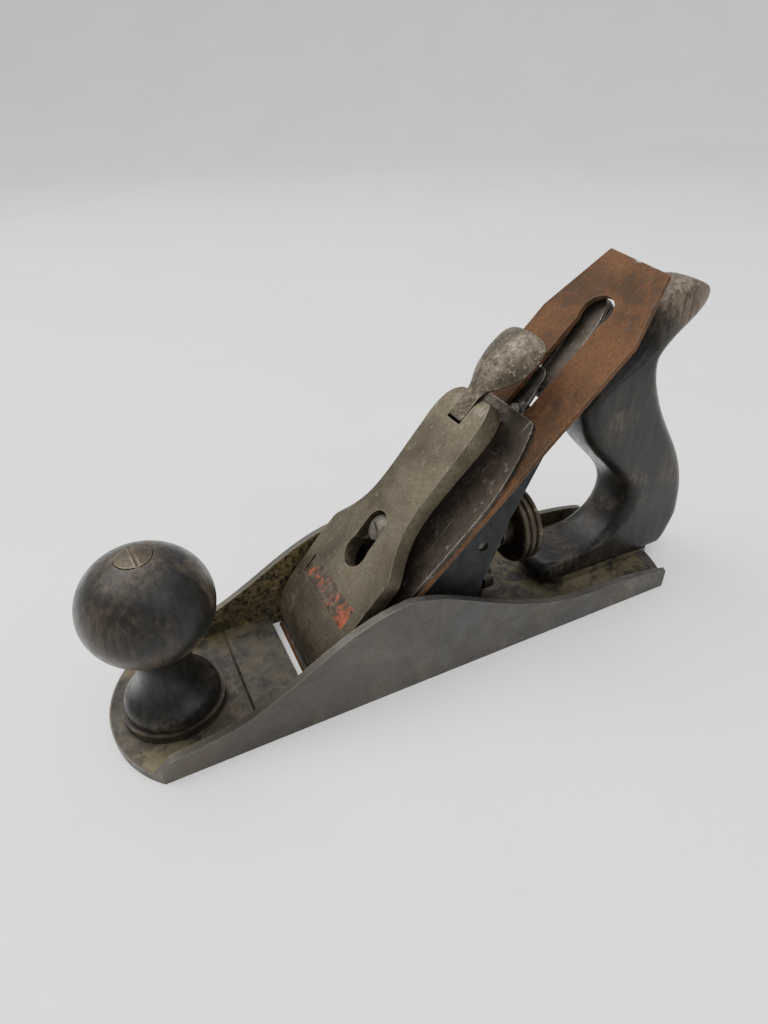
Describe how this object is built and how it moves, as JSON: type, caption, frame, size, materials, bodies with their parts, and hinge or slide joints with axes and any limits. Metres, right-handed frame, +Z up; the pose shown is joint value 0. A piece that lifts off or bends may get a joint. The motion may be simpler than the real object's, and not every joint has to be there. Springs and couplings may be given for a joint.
{
  "type": "bench hand plane",
  "caption": "Well-used metal smoothing plane: cast iron sole, frog, rusty iron, worn lever cap with thumb lever, brass depth wheel, black knob and tote",
  "frame": {"origin": "centre of the sole's flat underside, halfway along its length and its width", "axes": "+X from the toe to the heel, +Z up from the sole, +Y to the far cheek (right hand side when pushing towards -X is the +Y side)"},
  "size_m": [0.26, 0.062, 0.1436],
  "materials": {
    "patinated_iron": "dark worn patina with brown rust dust",
    "black_japanning": "chipped semi-gloss black lacquer",
    "dark_steel": "oxidised steel with bright worn edges",
    "rusty_steel": "brown rust, pitted, light chips at the end",
    "worn_nickel": "worn nickel plate, pitted grey-beige",
    "dull_brass": "dull olive tarnish, brighter ridges",
    "black_wood": "black stain, semi-gloss, brown where worn"
  },
  "bodies": {
    "plane": {"body": "patinated_iron", "frog": "black_japanning", "frog_screws": "dark_steel", "frog_washers": "dark_steel", "frog_adjusting_screw": "dark_steel", "frog_adjusting_plate": "dark_steel", "frog_plate_screw": "dark_steel", "y_lever_pin": "dark_steel", "depth_stud": "dark_steel", "lateral_rivet": "dark_steel", "lever_cap_screw": "dark_steel", "knob": "black_wood", "knob_bolt": "dark_steel", "knob_nut": "dull_brass", "tote": "black_wood", "tote_bolt": "dark_steel", "tote_nut": "dull_brass"},
    "depth_wheel": {"depth_nut": "dull_brass"},
    "yoke": {"y_lever": "black_japanning"},
    "iron_carrier": {"cap_iron_screw": "dark_steel"},
    "iron": {"blade": "rusty_steel", "cap_iron": "dark_steel"},
    "lateral": {"lateral_lever": "dark_steel"},
    "roller": {"lateral_disc": "dark_steel"},
    "cap": {"lever_cap": "worn_nickel", "cam_pin": "dark_steel", "lever_cap_spring": "dark_steel", "spring_rivet": "dark_steel"},
    "cam": {"cam_lever": "worn_nickel"}
  },
  "joints": [
    {"name": "depth_slide", "type": "slide", "parent": "plane", "child": "iron_carrier", "axis": [0.7071, 0, 0.7071], "range_m": [-0.001, 0.001]},
    {"name": "depth_nut_turn", "type": "hinge", "parent": "plane", "child": "depth_wheel", "pos_m": [0.045, 0, 0.038], "axis": [1, 0, 0], "range_deg": [-290.5, 290.5]},
    {"name": "yoke_tilt", "type": "hinge", "parent": "plane", "child": "yoke", "pos_m": [0.01948, 0, 0.05091], "axis": [0, 1, 0], "range_deg": [-3.9, 3.9]},
    {"name": "iron_skew", "type": "hinge", "parent": "iron_carrier", "child": "iron", "pos_m": [0.02088, -0.00196, 0.07211], "axis": [-0.7071, 0, 0.7071], "range_deg": [-0.82, 0.82]},
    {"name": "lateral_swing", "type": "hinge", "parent": "plane", "child": "lateral", "pos_m": [0.04423, 0, 0.09122], "axis": [-0.7071, 0, 0.7071], "range_deg": [-2.2, 2.2]},
    {"name": "roller_spin", "type": "hinge", "parent": "lateral", "child": "roller", "pos_m": [0.03304, -0.00232, 0.08145], "axis": [-0.7071, 0, 0.7071], "continuous": true},
    {"name": "lever_cap_release", "type": "slide", "parent": "plane", "child": "cap", "axis": [0.7071, 0, 0.7071], "range_m": [0, 0.0125]},
    {"name": "cam_lever_lift", "type": "hinge", "parent": "cap", "child": "cam", "pos_m": [0.02655, 0, 0.09475], "axis": [0, -1, 0], "range_deg": [0, 88]}
  ],
  "couplings": [
    {"joint": "depth_nut_turn", "follows": "depth_slide", "rad_per_m": 5060},
    {"joint": "yoke_tilt", "follows": "depth_slide", "rad_per_m": 66.667},
    {"joint": "iron_skew", "follows": "lateral_swing", "ratio": -0.36}
  ]
}
